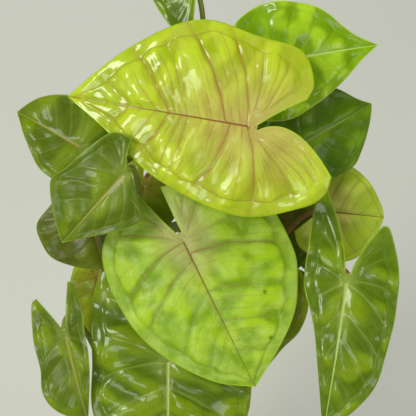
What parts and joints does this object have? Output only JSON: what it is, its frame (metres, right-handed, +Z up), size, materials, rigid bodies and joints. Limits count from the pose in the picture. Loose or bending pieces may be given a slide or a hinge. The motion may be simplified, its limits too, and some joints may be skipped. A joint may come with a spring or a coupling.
{
  "type": "arrowhead plant",
  "caption": "Potted arrowhead plant: glossy arrow-shaped lime and green leaves on long slender stalks above a plain tapered clay pot.",
  "frame": {"origin": "centre of the pot's foot, on the surface it stands on", "axes": "+Z up along the pot's axis; the side with the large leaves faces -Y"},
  "size_m": [0.19, 0.1866, 0.3964],
  "materials": {
    "terracotta": "matt fired clay",
    "potting_soil": "dry crumbly soil",
    "lime_leaf": "glossy yellow green leaf with red-brown veins",
    "green_leaf": "glossy mid green leaf with pale veins",
    "olive_leaf": "satin dark olive leaf"
  },
  "bodies": {
    "root": {"pot": "terracotta", "soil": "potting_soil", "leaf_crown": "lime_leaf", "leaf_heart": "lime_leaf", "leaf_back_left": "green_leaf", "leaf_left": "green_leaf", "leaf_inner_left": "olive_leaf", "leaf_left_low": "olive_leaf", "leaf_narrow_left": "olive_leaf", "leaf_hanging_left": "green_leaf", "leaf_front": "green_leaf", "leaf_hanging_right": "green_leaf", "leaf_right_pale": "lime_leaf", "leaf_right_dark": "green_leaf", "leaf_upper_right": "green_leaf", "leaf_topmost": "green_leaf", "leaf_inner_right": "olive_leaf", "leaf_rear_left": "green_leaf", "leaf_rear_right": "olive_leaf", "leaf_rear_middle": "green_leaf", "leaf_side_right": "olive_leaf", "leaf_side_left": "green_leaf", "leaf_rear_low_right": "olive_leaf", "leaf_rear_low_left": "green_leaf", "leaf_low_right": "olive_leaf", "leaf_low_left": "green_leaf", "leaf_rear_top": "olive_leaf", "leaf_rear_upper_left": "green_leaf", "leaf_low_front_left": "olive_leaf", "leaf_low_front_right": "green_leaf"}
  },
  "joints": []
}
